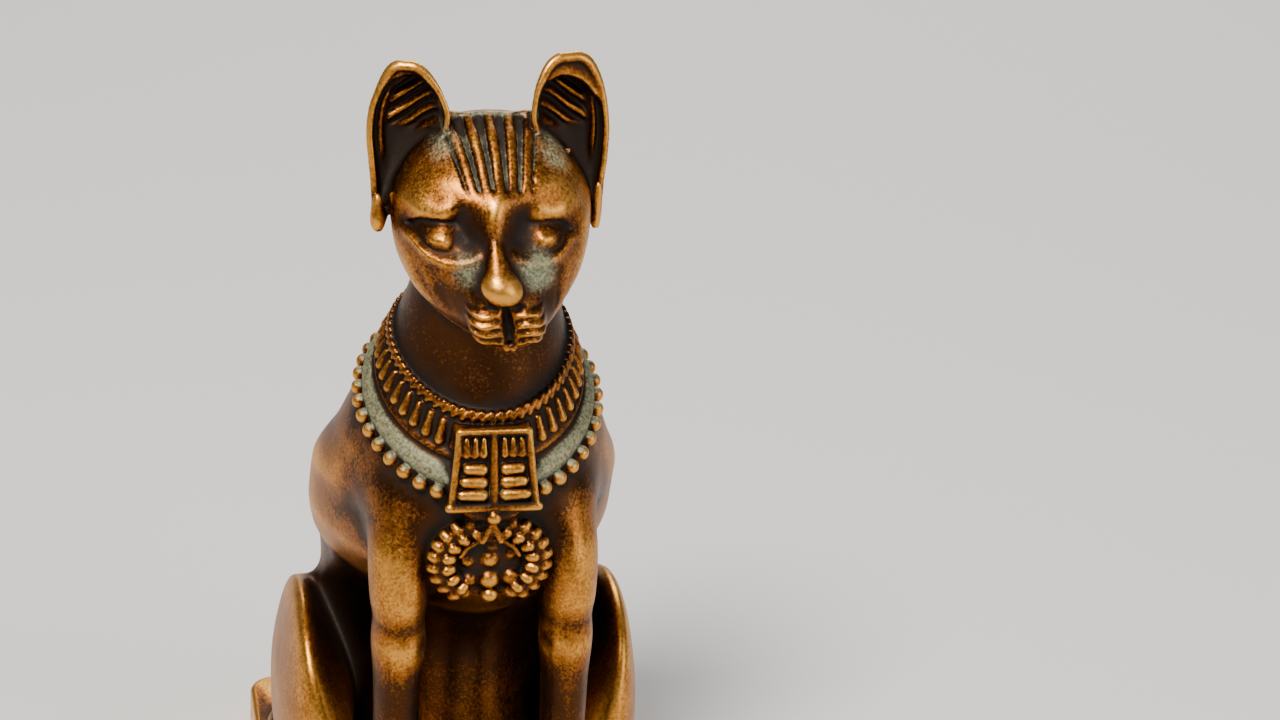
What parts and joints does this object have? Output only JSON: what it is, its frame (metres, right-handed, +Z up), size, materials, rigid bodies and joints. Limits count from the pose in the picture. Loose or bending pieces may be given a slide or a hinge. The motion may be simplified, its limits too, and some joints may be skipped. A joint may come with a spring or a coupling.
{
  "type": "cat figurine",
  "caption": "Seated Egyptian-style cat figurine on a low base, with upright ears, a broad beaded collar, a chest plaque and a ring pendant.",
  "frame": {"origin": "middle of the underside of the base", "axes": "+Z up, the cat faces -Y, its right side is towards -X"},
  "size_m": [0.066, 0.088, 0.15],
  "materials": {
    "bronze_finish": "bronze-coloured metallic finish on cast resin, rubbed bright copper on raised parts, dark brown in the recesses, thin green-grey patina on the cheeks, forehead and collar band"
  },
  "bodies": {
    "root": {"cat_figurine": "bronze_finish"}
  },
  "joints": []
}
